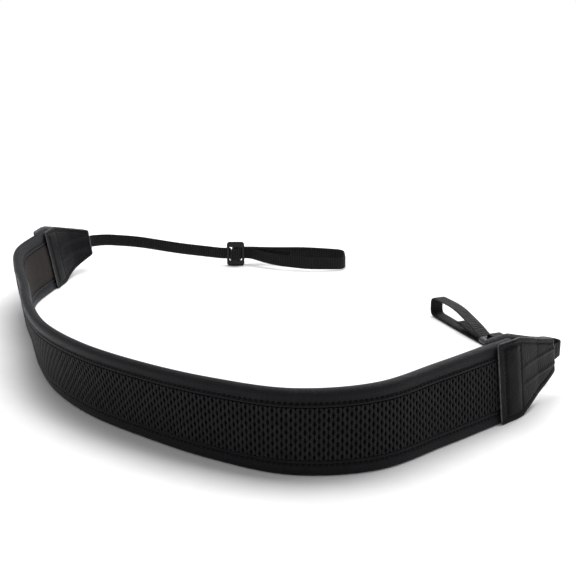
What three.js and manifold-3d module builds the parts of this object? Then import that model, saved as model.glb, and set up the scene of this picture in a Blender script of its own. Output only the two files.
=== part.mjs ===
// Camera neck strap, standing by itself on a level surface.
//
// A wide padded neck pad stands on its lower edge in a C.  Each end is held between two leather
// layers, the tab, that taper down to a narrow webbing.  Each webbing runs through a three-bar
// slider, out round the place of a camera lug, and back through the slider to a free tail.
//
// Millimetres, +Z up.  The surface is z = 0, the origin is the middle of the strap's footprint,
// the pad's front bulges towards -Y and both webbings lie behind it.

import * as THREE from 'three';
import { mergeVertices } from 'three/addons/utils/BufferGeometryUtils.js';
import Module from 'manifold-3d';

const wasm = await Module();
wasm.setup();

const UP = new THREE.Vector3(0, 0, 1);

// ---------------------------------------------------------------- driving dimensions

const gap = 0.3;                  // between any two pieces that touch on the real strap

const pad = {
  height: 46,                     // edge to edge over both bindings
  core: 3.8,                      // thickness of the foam slab
  mesh: 1.0,                      // thickness of the woven outer panel
  lining: 0.8,                    // thickness of the inner cloth
  step: 7,                        // length of one facet along the pad
};

const binding = {
  lower: 8.4,                     // height of the lower binding
  upper: 9.2,                     // height of the upper binding
  half: 3.4,                      // half thickness where it is plumpest
  foot: 1.7,                      // half width of the flat that it stands on
};

const leather = 1.2;              // one layer of a tab
const tabHeight = 46.6;
const padInTab = 13;              // how far the pad reaches in between the two layers

const webbing = { width: 10, thickness: 1.2 };

const slider = {
  height: 21,                     // along the webbing's width
  length: 15,                     // along the webbing
  thickness: 2.6,
  slotHeight: 12,
  slotLength: 3.8,
  midBar: 3,
  corner: 2.5,
};

// The pad's middle line on the surface between the two tabs, in even steps from the left one.
// x, y: place.  lean: degrees that the pad tips outwards on its way up.
const padLine = [
  { x: -168.5, y: 115, lean: 9 },
  { x: -174, y: 72, lean: 8 },
  { x: -165, y: 29, lean: 7 },
  { x: -150, y: -12, lean: 8 },
  { x: -136, y: -53, lean: 10 },
  { x: -117, y: -93, lean: 11 },
  { x: -90, y: -127, lean: 10 },
  { x: -56, y: -155, lean: 9 },
  { x: -19, y: -180, lean: 5 },
  { x: 21, y: -197, lean: 1 },
  { x: 63, y: -192, lean: -2 },
  { x: 99, y: -166, lean: -4 },
  { x: 134, y: -138, lean: -6 },
];

// Where the middle of each tab's narrow end comes to, beside and over the surface.
const tabTips = {
  left: { x: -152, y: 170 },
  right: { x: 176, y: -91 },
};
const tabSlant = 0.04;            // how far its upright edges lean back, as a share of their height

// A tab, from the pad's side to the narrow end.
// s: distance along the tab.  half: half its height.  inside: half the space between its layers.
const tabStations = [
  { s: 0, half: 22, inside: 4 },
  { s: 1.3, half: 23.3, inside: 4 },
  { s: 15, half: 23.3, inside: 4 },
  { s: 20, half: 23, inside: 3.4 },
  { s: 40, half: 17, inside: 1 },
  { s: 61.5, half: 10.8, inside: 1 },
  { s: 63, half: 9.6, inside: 1 },
];

// ---------------------------------------------------------------- general shapes

// A closed solid through rings of points, all with the same number of points and convex.
function loft(rings) {
  const size = rings[0].length;
  const positions = rings.flat().flatMap((point) => [point.x, point.y, point.z]);
  const faces = [];
  for (let ring = 0; ring < rings.length - 1; ring++) {
    for (let corner = 0; corner < size; corner++) {
      const a = ring * size + corner;
      const b = ring * size + (corner + 1) % size;
      faces.push(a, b, a + size, b, b + size, a + size);
    }
  }
  const last = (rings.length - 1) * size;
  for (let corner = 1; corner < size - 1; corner++) {
    faces.push(0, corner + 1, corner);
    faces.push(last, last + corner, last + corner + 1);
  }
  const geometry = new THREE.BufferGeometry();
  geometry.setAttribute('position', new THREE.Float32BufferAttribute(positions, 3));
  geometry.setIndex(volumeOf(rings) > 0 ? faces : faces.reverse());
  geometry.computeVertexNormals();
  return geometry;
}

// Positive where the rings turn anticlockwise as seen from the loft's far end.
function volumeOf(rings) {
  const middle = Math.floor(rings.length / 2);
  const ring = rings[middle];
  const along = new THREE.Vector3().subVectors(rings[middle][0], rings[middle - 1][0]);
  const turn = new THREE.Vector3();
  const origin = ring[0];
  for (let corner = 1; corner < ring.length - 1; corner++) {
    const a = new THREE.Vector3().subVectors(ring[corner], origin);
    const b = new THREE.Vector3().subVectors(ring[corner + 1], origin);
    turn.add(a.cross(b));
  }
  return turn.dot(along);
}

// The corners of a rectangle, as offsets [across, up].
function rectangle(across0, across1, up0, up1) {
  return [[across0, up0], [across1, up0], [across1, up1], [across0, up1]];
}

// Points of a round corner, as offsets [across, up].
function roundCorner(centreAcross, centreUp, radius, fromDegrees, toDegrees, steps) {
  return Array.from({ length: steps + 1 }, (_, index) => {
    const angle = THREE.MathUtils.degToRad(fromDegrees + (toDegrees - fromDegrees) * index / steps);
    return [centreAcross + radius * Math.cos(angle), centreUp + radius * Math.sin(angle)];
  });
}

// A closed geometry as a solid that can be cut, and back.
function toSolid(geometry) {
  const bare = geometry.clone();
  bare.deleteAttribute('normal');
  bare.deleteAttribute('uv');
  const merged = mergeVertices(bare, 1e-4);
  return new wasm.Manifold(new wasm.Mesh({
    numProp: 3,
    vertProperties: merged.attributes.position.array,
    triVerts: new Uint32Array(merged.index.array),
  }));
}

function toGeometry(solid) {
  const mesh = solid.getMesh();
  const geometry = new THREE.BufferGeometry();
  geometry.setAttribute('position', new THREE.BufferAttribute(mesh.vertProperties, 3));
  geometry.setIndex(new THREE.BufferAttribute(mesh.triVerts, 1));
  geometry.computeVertexNormals();
  return geometry;
}

// ---------------------------------------------------------------- the pad's line

const padCurve = new THREE.CatmullRomCurve3(
  padLine.map((row) => new THREE.Vector3(row.x, row.y, 0)), false, 'catmullrom', 0.5);
const leanCurve = new THREE.CatmullRomCurve3(
  padLine.map((row) => new THREE.Vector3(row.lean, 0, 0)), false, 'catmullrom', 0.5);

// A place on the pad's line: its point, its direction, the way out of the C, and the lean.
function padStation(share) {
  const t = padCurve.getUtoTmapping(share);
  const along = padCurve.getTangent(t).normalize();
  return {
    point: padCurve.getPoint(t),
    along,
    out: new THREE.Vector3().crossVectors(along, UP),
    slope: Math.tan(THREE.MathUtils.degToRad(leanCurve.getPoint(t).x)),
  };
}

// A point beside a station: across is outwards, up is height over the surface.
function beside(station, across, up) {
  return station.point.clone()
    .addScaledVector(station.out, across + up * station.slope)
    .addScaledVector(UP, up);
}

// The same place moved straight on by a distance, as where the pad runs in between the leather.
function straightOn(station, distance) {
  return { ...station, point: station.point.clone().addScaledVector(station.along, distance) };
}

const padEnds = { left: padStation(0), right: padStation(1) };
const padSteps = Math.round(padCurve.getLength() / pad.step);
const padStations = [
  straightOn(padEnds.left, -padInTab),
  ...Array.from({ length: padSteps + 1 }, (_, index) => padStation(index / padSteps)),
  straightOn(padEnds.right, padInTab),
];

// A strip of one section along the whole pad.
function alongPad(section) {
  return loft(padStations.map((station) => section.map(([across, up]) => beside(station, across, up))));
}

const innerEdge = { low: binding.lower + gap, high: pad.height - binding.upper - gap };

function padCore() {
  return alongPad(rectangle(-pad.core / 2, pad.core / 2, innerEdge.low, innerEdge.high));
}

function meshPanel() {
  const face = pad.core / 2 + gap;
  return alongPad(rectangle(face, face + pad.mesh, innerEdge.low, innerEdge.high));
}

function innerLining() {
  const face = pad.core / 2 + gap;
  return alongPad(rectangle(-face - pad.lining, -face, innerEdge.low, innerEdge.high));
}

function upperBinding() {
  const top = pad.height - binding.half;
  return alongPad([
    [-binding.half + 0.4, pad.height - binding.upper],
    [binding.half - 0.4, pad.height - binding.upper],
    ...roundCorner(0, top, binding.half, 0, 180, 6),
  ]);
}

function lowerBinding() {
  const radius = binding.half - binding.foot;
  return alongPad([
    ...roundCorner(-binding.foot, radius, radius, 180, 270, 2),
    ...roundCorner(binding.foot, radius, radius, 270, 360, 2),
    [binding.half, binding.lower - 1.5],
    [binding.half - 0.4, binding.lower],
    [-binding.half + 0.4, binding.lower],
    [-binding.half, binding.lower - 1.5],
  ]);
}

// ---------------------------------------------------------------- tabs

const tabLength = tabStations[tabStations.length - 1].s;

// A tab's frame: a gentle bend from the pad's end to the tip.
function tabFrame(station, direction, tip) {
  const along = station.along.clone().multiplyScalar(direction);
  const start = station.point;
  const leaning = station.slope * tabHeight / 2;
  const end = new THREE.Vector3(tip.x, tip.y, 0).addScaledVector(station.out, -leaning);
  const straight = [0.25, 0.5].map((share) => start.clone().addScaledVector(along, tabLength * share));
  return {
    start,
    line: new THREE.CubicBezierCurve3(start, ...straight, end),
    facing: direction,
    slope: station.slope,
  };
}

// A point of a tab: s along it, across outwards, up from its lower edge.
function onTab(frame, s, across, up) {
  const length = frame.line.getLength();
  const along = s - up * tabSlant;
  const share = THREE.MathUtils.clamp(along / length, 0, 1);
  const direction = frame.line.getTangentAt(share);
  const out = new THREE.Vector3().crossVectors(direction, UP).multiplyScalar(frame.facing);
  return frame.line.getPointAt(share)
    .addScaledVector(direction, along - share * length)
    .addScaledVector(out, across + up * frame.slope)
    .addScaledVector(UP, up);
}

// One leather layer; side is 1 for the outer layer and -1 for the inner one.
function tabLayer(frame, side) {
  const middle = tabHeight / 2;
  return loft(tabStations.map(({ s, half, inside }) => {
    const section = rectangle(side * inside, side * (inside + leather), middle - half, middle + half);
    return section.map(([across, up]) => onTab(frame, s, across, up));
  }));
}

const tabs = {
  left: tabFrame(padEnds.left, -1, tabTips.left),
  right: tabFrame(padEnds.right, 1, tabTips.right),
};

// ---------------------------------------------------------------- sliders

// A slider's frame: along points to the lug, face is the side where the webbing crosses the bars,
// and wide is the direction of the webbing's width.
const sliders = {
  left: {
    centre: new THREE.Vector3(-26, 183, 10.5),
    along: new THREE.Vector3(1, 0.02, 0).normalize(),
    wide: new THREE.Vector3(0, 0, 1),
  },
  right: {
    centre: new THREE.Vector3(158, -22, 6.2),
    along: new THREE.Vector3(-0.38, 0.925, 0).normalize(),
    wide: new THREE.Vector3(-0.925, -0.38, 0).normalize(),
  },
};
for (const frame of Object.values(sliders)) {
  frame.face = new THREE.Vector3().crossVectors(frame.along, frame.wide);
}

// A row of a webbing's route, given beside a slider: l along it, n towards its face.
function atSlider(frame, l, n, bend) {
  return {
    at: frame.centre.clone().addScaledVector(frame.along, l).addScaledVector(frame.face, n),
    bend,
    wide: frame.wide,
  };
}

// A plate with round corners and two slots, which leave three bars.
function sliderBody(frame) {
  const across = slider.length / 2 - slider.corner;
  const up = slider.height / 2 - slider.corner;
  const outline = new THREE.Shape([
    ...roundCorner(across, up, slider.corner, 0, 90, 4),
    ...roundCorner(-across, up, slider.corner, 90, 180, 4),
    ...roundCorner(-across, -up, slider.corner, 180, 270, 4),
    ...roundCorner(across, -up, slider.corner, 270, 360, 4),
  ].map(([x, y]) => new THREE.Vector2(x, y)));
  const plate = new THREE.ExtrudeGeometry(outline, { depth: slider.thickness, bevelEnabled: false });
  plate.translate(0, 0, -slider.thickness / 2);
  let solid = toSolid(plate);
  for (const side of [-1, 1]) {
    const slot = new THREE.BoxGeometry(slider.slotLength, slider.slotHeight, slider.thickness * 2);
    slot.translate(side * (slider.midBar + slider.slotLength) / 2, 0, 0);
    solid = solid.subtract(toSolid(slot));
  }
  const through = new THREE.Vector3().crossVectors(frame.along, frame.wide);
  return toGeometry(solid).applyMatrix4(new THREE.Matrix4()
    .makeBasis(frame.along, frame.wide, through)
    .setPosition(frame.centre));
}

// ---------------------------------------------------------------- webbings

// Heights of the webbing's layers over the slider's middle plane: each lies a gap off the next.
const layer = webbing.thickness + gap;
const onBar = slider.thickness / 2 + gap + webbing.thickness / 2;
const outerLeg = 4.3;             // where the layer that comes from the tab passes the slots
const innerLeg = 2.6;             // where the returning layer passes them
const slotBend = 1.4;

// From the tab, up one slot, over the middle bar, down the other and on to the lug.
function threadOut(frame) {
  return [
    atSlider(frame, -12, -onBar, 3),
    atSlider(frame, -outerLeg, -onBar, slotBend),
    atSlider(frame, -outerLeg, onBar + layer, slotBend),
    atSlider(frame, outerLeg, onBar + layer, slotBend),
    atSlider(frame, outerLeg, -onBar, slotBend),
    atSlider(frame, 12, -onBar, 3),
  ];
}

// Back from the lug, under the tail, up the first slot, over the bar and down to the tail.
function threadBack(frame) {
  return [
    atSlider(frame, 12, -onBar - 2 * layer, 3),
    atSlider(frame, -innerLeg, -onBar - 2 * layer, slotBend),
    atSlider(frame, -innerLeg, onBar, slotBend),
    atSlider(frame, innerLeg, onBar, slotBend),
    atSlider(frame, innerLeg, -onBar - layer, slotBend),
    atSlider(frame, 12, -onBar - layer, 3),
  ];
}

// Rows of a free stretch.  bend: how far before the row the turn starts.
// lie: 0 where the webbing stands on its edge, 1 where it lies flat.
function freeRows(rows, flatWide) {
  return rows.map(({ x, y, z, bend, lie }) => ({
    at: new THREE.Vector3(x, y, z),
    bend,
    wide: UP.clone().multiplyScalar(Math.cos(lie * Math.PI / 2))
      .addScaledVector(flatWide, Math.sin(lie * Math.PI / 2)),
  }));
}

// The stretch inside the tab, from its hidden end to just out of the tab's mouth.
function rowsInTab(frame) {
  return [30, 20, 10, 0, -4].map((back) => {
    const s = tabLength - back;
    const [low, middle, high] = [0, 0.5, 1].map((share) => onTab(frame, s, 0, tabHeight * share));
    return { at: middle, bend: 3, wide: new THREE.Vector3().subVectors(high, low).normalize() };
  });
}

// Points along a route with its corners rounded, each with the direction of the width there.
function routePoints(rows) {
  const points = [];
  const add = (at, wide) => points.push({ at, wide });
  rows.forEach((row, index) => {
    const before = rows[index - 1];
    const after = rows[index + 1];
    if (!before || !after) {
      add(row.at, row.wide);
      return;
    }
    const back = new THREE.Vector3().subVectors(before.at, row.at);
    const on = new THREE.Vector3().subVectors(after.at, row.at);
    const bend = Math.min(row.bend, back.length() * 0.48, on.length() * 0.48);
    const from = row.at.clone().addScaledVector(back.normalize(), bend);
    const to = row.at.clone().addScaledVector(on.normalize(), bend);
    const corner = new THREE.QuadraticBezierCurve3(from, row.at, to);
    const turn = Math.PI - back.angleTo(on);
    const steps = Math.max(1, Math.ceil(turn / THREE.MathUtils.degToRad(24)));
    corner.getPoints(steps).forEach((at) => add(at, row.wide));
  });
  return points;
}

// Straight stretches cut into pieces no longer than step, with the width turning evenly.
function evenStretches(points, step) {
  const result = [points[0]];
  points.slice(1).forEach((point, index) => {
    const before = points[index];
    const count = Math.ceil(before.at.distanceTo(point.at) / step);
    for (let piece = 1; piece <= count; piece++) {
      const share = piece / count;
      result.push({
        at: before.at.clone().lerp(point.at, share),
        wide: before.wide.clone().lerp(point.wide, share),
      });
    }
  });
  return result;
}

function webbingStrip(rows) {
  const points = evenStretches(routePoints(rows), 9);
  const half = { width: webbing.width / 2, thickness: webbing.thickness / 2 };
  return loft(points.map(({ at, wide }, index) => {
    const before = points[Math.max(index - 1, 0)].at;
    const after = points[Math.min(index + 1, points.length - 1)].at;
    const along = new THREE.Vector3().subVectors(after, before).normalize();
    const across = wide.clone().addScaledVector(along, -wide.dot(along)).normalize();
    const normal = new THREE.Vector3().crossVectors(along, across);
    const section = rectangle(-half.thickness, half.thickness, -half.width, half.width);
    return section.map(([n, w]) => at.clone().addScaledVector(normal, n).addScaledVector(across, w));
  }));
}

function leftWebbing() {
  const frame = sliders.left;
  return webbingStrip([
    ...rowsInTab(tabs.left),
    ...freeRows([
      { x: -137, y: 185, z: 22.5, bend: 9, lie: 0 },
      { x: -111, y: 190, z: 19.5, bend: 12, lie: 0 },
      { x: -75, y: 188, z: 14, bend: 12, lie: 0 },
    ], frame.wide),
    ...threadOut(frame),
    ...freeRows([
      { x: 7, y: 172, z: 8, bend: 10, lie: 0 },
      { x: 35, y: 166, z: 6.2, bend: 10, lie: 0 },
      { x: 67.5, y: 168, z: 5.6, bend: 8, lie: 0 },
      { x: 67.5, y: 197, z: 5.6, bend: 8, lie: 0 },
      { x: 35, y: 203, z: 6.2, bend: 10, lie: 0 },
      { x: 3, y: 196, z: 8, bend: 10, lie: 0 },
    ], frame.wide),
    ...threadBack(frame),
    ...freeRows([
      { x: 7, y: 185.6, z: 8.4, bend: 6, lie: 0 },
      { x: 21, y: 184, z: 7.6, bend: 6, lie: 0 },
    ], frame.wide),
  ]);
}

function rightWebbing() {
  const frame = sliders.right;
  return webbingStrip([
    ...rowsInTab(tabs.right),
    ...freeRows([
      { x: 184.5, y: -80, z: 23, bend: 6, lie: 0 },
      { x: 173, y: -69.5, z: 22, bend: 6, lie: 0 },
      { x: 158, y: -85, z: 19, bend: 6, lie: 0 },
      { x: 158, y: -64, z: 13.5, bend: 9, lie: 0.3 },
      { x: 161, y: -45, z: 7.5, bend: 9, lie: 0.85 },
    ], frame.wide),
    ...threadOut(frame),
    ...freeRows([
      { x: 148, y: 1, z: 9, bend: 8, lie: 1 },
      { x: 139, y: 24, z: 14.5, bend: 10, lie: 1 },
      { x: 128, y: 50, z: 14, bend: 4.5, lie: 1 },
      { x: 128, y: 50, z: 1.2, bend: 4.5, lie: 1 },
      { x: 141, y: 18, z: 0.9, bend: 10, lie: 1 },
    ], frame.wide),
    ...threadBack(frame),
    ...freeRows([
      { x: 151, y: -4, z: 2.8, bend: 6, lie: 1 },
      { x: 141.5, y: 19, z: 5.5, bend: 6, lie: 1 },
    ], frame.wide),
  ]);
}

// ---------------------------------------------------------------- finishes and assembly

const finish = {
  foam: new THREE.MeshStandardMaterial({ color: 0x242526, roughness: 0.9, metalness: 0 }),
  mesh: new THREE.MeshStandardMaterial({ color: 0x2a2a2a, roughness: 0.85, metalness: 0 }),
  lining: new THREE.MeshStandardMaterial({ color: 0x3a3535, roughness: 0.95, metalness: 0 }),
  binding: new THREE.MeshStandardMaterial({ color: 0x1d1e20, roughness: 0.8, metalness: 0 }),
  leather: new THREE.MeshStandardMaterial({ color: 0x242628, roughness: 0.55, metalness: 0 }),
  webbing: new THREE.MeshStandardMaterial({ color: 0x242322, roughness: 0.8, metalness: 0 }),
  slider: new THREE.MeshStandardMaterial({ color: 0x1a1a1b, roughness: 0.45, metalness: 0 }),
};

const strap = new THREE.Group();

function addPiece(name, geometry, material) {
  const piece = new THREE.Mesh(geometry, material);
  piece.name = name;
  strap.add(piece);
}

addPiece('pad_core', padCore(), finish.foam);
addPiece('mesh_panel', meshPanel(), finish.mesh);
addPiece('inner_lining', innerLining(), finish.lining);
addPiece('binding_upper', upperBinding(), finish.binding);
addPiece('binding_lower', lowerBinding(), finish.binding);
for (const side of ['left', 'right']) {
  addPiece(`tab_${side}_outer`, tabLayer(tabs[side], 1), finish.leather);
  addPiece(`tab_${side}_inner`, tabLayer(tabs[side], -1), finish.leather);
  addPiece(`slider_${side}`, sliderBody(sliders[side]), finish.slider);
}
addPiece('webbing_left', leftWebbing(), finish.webbing);
addPiece('webbing_right', rightWebbing(), finish.webbing);

export default strap;
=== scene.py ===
# %% [markdown]
# # A camera neck strap
# A wide padded neck pad stands on its lower edge in a C. Each end is held between two leather
# layers, the tab, and from each tab a narrow webbing runs through a three-bar slider, out
# round the place of a camera lug and back to a free tail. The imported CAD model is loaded
# first, as a fixed frame: every piece below is made in the place of one of its solids.

# %% Load the frame
import math
import random

import bmesh
import bpy
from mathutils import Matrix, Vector


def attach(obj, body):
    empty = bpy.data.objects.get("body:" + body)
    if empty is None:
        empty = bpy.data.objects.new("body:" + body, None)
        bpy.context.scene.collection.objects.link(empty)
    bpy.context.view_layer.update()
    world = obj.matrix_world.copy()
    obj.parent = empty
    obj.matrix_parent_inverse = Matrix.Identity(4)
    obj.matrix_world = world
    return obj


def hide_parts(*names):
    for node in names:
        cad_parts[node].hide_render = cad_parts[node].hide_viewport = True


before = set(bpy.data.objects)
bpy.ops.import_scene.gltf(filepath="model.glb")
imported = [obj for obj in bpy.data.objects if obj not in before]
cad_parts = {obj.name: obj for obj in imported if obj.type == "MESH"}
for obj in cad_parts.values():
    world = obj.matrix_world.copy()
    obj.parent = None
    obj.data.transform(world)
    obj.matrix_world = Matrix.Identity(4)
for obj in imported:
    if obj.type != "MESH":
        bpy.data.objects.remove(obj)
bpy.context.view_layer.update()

# %% [markdown]
# ## Camera
# The strap is seen from a little above, on a white floor, in soft light. A fairly long lens
# keeps the near part of the C from looming.

# %% The camera
MM = 0.001
UP = Vector((0, 0, 1))
CAMERA_PITCH = 17.1  # degrees below the horizon

camera = bpy.data.objects.new("camera", bpy.data.cameras.new("camera"))
camera.data.lens = 62.5
camera.data.sensor_width = 36
camera.data.clip_start = 0.01
camera.location = (0.019, -0.647, 0.235)
camera.rotation_euler = (math.radians(90 - CAMERA_PITCH), 0, 0)
bpy.context.collection.objects.link(camera)
bpy.context.scene.camera = camera
bpy.context.scene.view_settings.view_transform = "Standard"
print("camera", camera.data.lens, "mm, pitched", CAMERA_PITCH, "degrees down")

# %% [markdown]
# ## Two helpers that everything uses
# Colours are picked as sRGB hex values, as on a screen, and Blender's sockets want linear
# numbers, so one function turns them. The other adds a node to a tree, sets its own settings
# and fills or links its inputs, so that a material or a Geometry Nodes tree reads as a list.


# %% Colours and nodes
def linear(hex_colour):
    channels = [int(hex_colour[i:i + 2], 16) / 255 for i in (1, 3, 5)]
    return [c / 12.92 if c <= 0.04045 else ((c + 0.055) / 1.055) ** 2.4 for c in channels] + [1]


def add_node(tree, kind, inputs=None, **settings):
    """Adds a node. inputs: a socket's name or number, and a value or another node's output."""
    node = tree.nodes.new(kind)
    for name, value in settings.items():
        setattr(node, name, value)
    for name, value in (inputs or {}).items():
        if isinstance(value, bpy.types.NodeSocket):
            tree.links.new(value, node.inputs[name])
        else:
            node.inputs[name].default_value = value
    return node


def new_material(name, roughness, **shader_inputs):
    """A material with a Principled shader. Returns the material, its tree and the shader."""
    material = bpy.data.materials.new(name)
    material.use_nodes = True
    tree = material.node_tree
    shader = tree.nodes["Principled BSDF"]
    shader.inputs["Roughness"].default_value = roughness
    for socket, value in shader_inputs.items():
        shader.inputs[socket.replace("_", " ")].default_value = value
    return material, tree, shader


print("helpers ready")

# %% [markdown]
# ## The white set
# A black object shows its shape only through what it reflects, so the lamps are large, and the
# sheen they leave on the roll of the upper edge draws the strap's line. The floor is a plane of
# matt paper. Far from the strap, where the lamps don't reach, it glows a little, so that it has
# no grey horizon. The world is white to the camera and dimmer as a light, so that it doesn't
# wash the black out.

# %% The floor and the lamps
# Matt paper: white and almost without gloss.
floor_finish, tree, shader = new_material("matt_white_paper", 0.9, Specular_IOR_Level=0.1)
place = add_node(tree, "ShaderNodeTexCoord")
fibres = add_node(tree, "ShaderNodeTexNoise", {"Vector": place.outputs["Object"], "Scale": 60})
tone = add_node(tree, "ShaderNodeValToRGB", {"Fac": fibres.outputs["Fac"]})
tone.color_ramp.elements[0].color = linear("#f4f4f4")
tone.color_ramp.elements[1].color = linear("#fbfbfb")
tree.links.new(tone.outputs["Color"], shader.inputs["Base Color"])
shader.inputs["Emission Color"].default_value = linear("#ffffff")
distance = add_node(tree, "ShaderNodeVectorMath", {0: place.outputs["Object"]},
                    operation="LENGTH").outputs["Value"]
GLOW_FROM, GLOW_FULL, GLOW = 0.6, 1.8, 0.62  # metres from the strap's middle, and strength
far_glow = add_node(tree, "ShaderNodeMapRange",
                    {0: distance, 1: GLOW_FROM, 2: GLOW_FULL, 3: 0.0, 4: GLOW})
tree.links.new(far_glow.outputs[0], shader.inputs["Emission Strength"])

floor_mesh = bpy.data.meshes.new("paper_floor")
FLOOR = 4  # half its width, in metres
floor_mesh.from_pydata(
    [(x * FLOOR, y * FLOOR, 0) for x, y in ((-1, -1), (1, -1), (1, 1), (-1, 1))],
    [], [(0, 1, 2, 3)])
floor_mesh.materials.append(floor_finish)
floor = bpy.data.objects.new("paper_floor", floor_mesh)
bpy.context.collection.objects.link(floor)

world = bpy.data.worlds.new("white_studio")
world.use_nodes = True
backdrop = world.node_tree.nodes["Background"]
backdrop.inputs["Color"].default_value = linear("#ffffff")
seen = add_node(world.node_tree, "ShaderNodeLightPath").outputs["Is Camera Ray"]
WORLD_LIGHT = 0.42
strength = add_node(world.node_tree, "ShaderNodeMapRange", {0: seen, 3: WORLD_LIGHT, 4: 1.0})
world.node_tree.links.new(strength.outputs[0], backdrop.inputs["Strength"])
bpy.context.scene.world = world


def soft_lamp(name, place, aim, size, watts):
    lamp = bpy.data.objects.new(name, bpy.data.lights.new(name, "AREA"))
    lamp.data.shape = "RECTANGLE"
    lamp.data.size, lamp.data.size_y = size
    lamp.data.energy = watts
    lamp.location = place
    lamp.rotation_euler = (Vector(aim) - Vector(place)).to_track_quat("-Z", "Y").to_euler()
    bpy.context.collection.objects.link(lamp)


soft_lamp("overhead_lamp", (0.1, 0.3, 1.4), (0, 0, 0), (1.3, 0.8), 22)
soft_lamp("side_lamp", (0.8, 1.2, 0.8), (-0.1, 0, 0), (0.9, 0.6), 9)
print("one floor and two soft lamps")

# %% [markdown]
# ## The pad's line
# Every long piece of the pad follows one line on the floor, a smooth curve through thirteen
# places, and leans a little out or in on its way up. Such a curve could be a Blender curve
# with a bevel, but here each piece has its own section, which has to stay upright, so the
# line is worked out in code and each piece is lofted along it: a ring of points at each step.

# %% Stations along the pad
PAD_LINE = [  # x, y and lean in degrees
    (-168.5, 115, 9), (-174, 72, 8), (-165, 29, 7), (-150, -12, 8), (-136, -53, 10),
    (-117, -93, 11), (-90, -127, 10), (-56, -155, 9), (-19, -180, 5), (21, -197, 1),
    (63, -192, -2), (99, -166, -4), (134, -138, -6)]
PAD_IN_TAB = 13
CURVE_STEPS = 60


def smooth_line(rows):
    """A Catmull-Rom curve through the rows, as many short steps with their distances."""
    rows = [Vector(row) for row in rows]
    rows = [2 * rows[0] - rows[1]] + rows + [2 * rows[-1] - rows[-2]]
    points = []
    for a, b, c, d in zip(rows, rows[1:], rows[2:], rows[3:]):
        for step in range(CURVE_STEPS):
            t = step / CURVE_STEPS
            points.append(0.5 * (2 * b + (c - a) * t + (2 * a - 5 * b + 4 * c - d) * t ** 2
                                 + (3 * b - a - 3 * c + d) * t ** 3))
    points.append(rows[-2])
    distances = [0.0]
    for a, b in zip(points, points[1:]):
        distances.append(distances[-1] + (b.xy - a.xy).length)
    return points, distances


pad_points, pad_distances = smooth_line(PAD_LINE)
PAD_LENGTH = pad_distances[-1]


def pad_station(run):
    """The place on the pad's line at a distance: point, direction, way out of the C, lean."""
    inside = min(max(run, 0.0), PAD_LENGTH)
    low, high = 0, len(pad_distances) - 1
    while high - low > 1:
        middle = (low + high) // 2
        low, high = (middle, high) if pad_distances[middle] <= inside else (low, middle)
    share = (inside - pad_distances[low]) / (pad_distances[high] - pad_distances[low])
    spot = pad_points[low].lerp(pad_points[high], share)
    before = pad_points[max(low - 1, 0)].lerp(pad_points[high - 1], share)
    after = pad_points[low + 1].lerp(pad_points[min(high + 1, len(pad_points) - 1)], share)
    along = Vector((after.x - before.x, after.y - before.y, 0)).normalized()
    point = Vector((spot.x, spot.y, 0)) + along * (run - inside)
    return point, along, along.cross(UP), math.tan(math.radians(spot.z))


def on_pad(run, across, up):
    point, _, out, slope = pad_station(run)
    return point + out * (across + up * slope) + UP * up


print("the pad's line is", round(PAD_LENGTH), "mm between the tabs")

# %% [markdown]
# ## Lofting
# The long pieces are closed tubes with a section of their own. The loft joins ring to ring,
# closes both ends and writes a UV map in metres, with u along the piece and v round its
# section, so that a weave or knit in the material keeps its real size and follows every bend.


# %% One loft for all long pieces
def loft_piece(name, rings, runs, finish):
    """A closed piece through rings of points in millimetres; runs are the rings' distances."""
    size = len(rings[0])
    vertices = [point * MM for ring in rings for point in ring]
    faces, texture, around = [], [], []
    for ring in rings:
        steps = [0.0]
        for a, b in zip(ring, ring[1:] + ring[:1]):
            steps.append(steps[-1] + (b - a).length)
        around.append(steps)
    for ring in range(len(rings) - 1):
        for corner in range(size):
            nearby = (corner + 1) % size
            a, b = ring * size + corner, ring * size + nearby
            faces.append((a, b, b + size, a + size))
            texture.append(((runs[ring], around[ring][corner]),
                            (runs[ring], around[ring][corner + 1]),
                            (runs[ring + 1], around[ring + 1][corner + 1]),
                            (runs[ring + 1], around[ring + 1][corner])))
    last = (len(rings) - 1) * size
    for start, order in ((0, range(size - 1, -1, -1)), (last, range(size))):
        faces.append(tuple(start + corner for corner in order))
        texture.append(tuple((runs[0 if start == 0 else -1], 0) for _ in range(size)))
    mesh = bpy.data.meshes.new(name)
    mesh.from_pydata(vertices, [], faces)
    layer = mesh.uv_layers.new(name="cloth")
    layer.data.foreach_set("uv", [n * MM for face in texture for pair in face for n in pair])
    mesh.polygons.foreach_set("use_smooth", [True] * len(mesh.polygons))
    closed = bmesh.new()
    closed.from_mesh(mesh)
    bmesh.ops.recalc_face_normals(closed, faces=closed.faces)
    if closed.calc_volume(signed=True) < 0:
        bmesh.ops.reverse_faces(closed, faces=closed.faces)
    closed.to_mesh(mesh)
    closed.free()
    mesh.materials.append(finish)
    piece = bpy.data.objects.new(name, mesh)
    bpy.context.collection.objects.link(piece)
    print(name, len(mesh.vertices), "points")
    return piece


def even_steps(first, last, step):
    count = round((last - first) / step)
    return [first + (last - first) * index / count for index in range(count + 1)]


# %% [markdown]
# ## Cloth finishes
# The edges are bound with a knitted nylon that stretches round the foam: near black, with a
# soft sheen where the pile catches the light and a fine knit that runs along the piece. The
# knit's loops are about 0.5 mm, and they are drawn at 0.9 mm, which is as fine as still shows.
# The inner side is a brushed lining, browner and duller, which grips the neck.


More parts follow.
